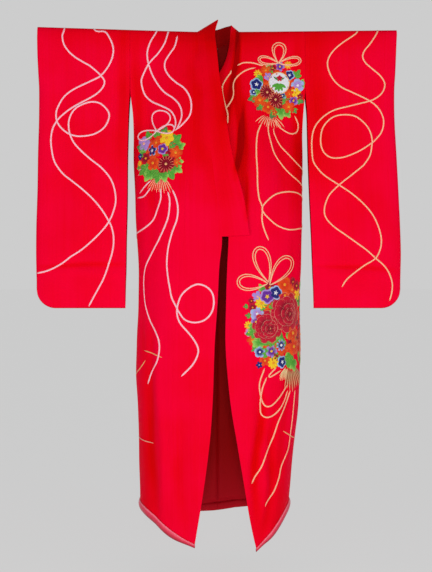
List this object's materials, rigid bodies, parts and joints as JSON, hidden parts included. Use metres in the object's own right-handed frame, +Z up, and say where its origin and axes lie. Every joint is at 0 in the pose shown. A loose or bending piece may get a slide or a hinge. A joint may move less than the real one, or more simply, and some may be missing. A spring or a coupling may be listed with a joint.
{
  "type": "uchikake wedding kimono",
  "caption": "Full-length wedding over-robe with long hanging sleeves, a crossed collar and a padded hem roll, filled out and open down the front.",
  "frame": {"origin": "middle of the shoulder line, where the wearer's shoulders hold the robe up", "axes": "+Z up, the front of the robe towards -Y, the wearer's left towards +X"},
  "size_m": [1.331, 0.3593, 1.8947],
  "materials": {
    "red_silk": "scarlet silk crepe with a soft sheen",
    "roll_satin": "rose red satin over wadding",
    "lining_silk": "dark red plain silk",
    "gold_thread": "couched gold thread",
    "silver_thread": "couched pale silver thread",
    "coloured_silk_thread": "flat silk embroidery in several colours"
  },
  "bodies": {
    "root": {"right_body_panel": "red_silk", "left_body_panel": "red_silk", "right_okumi": "red_silk", "left_okumi": "red_silk", "right_sleeve": "red_silk", "left_sleeve": "red_silk", "collar": "red_silk", "right_hem_roll": "roll_satin", "left_hem_roll": "roll_satin", "right_back_lining": "lining_silk", "left_back_lining": "lining_silk"}
  },
  "joints": []
}
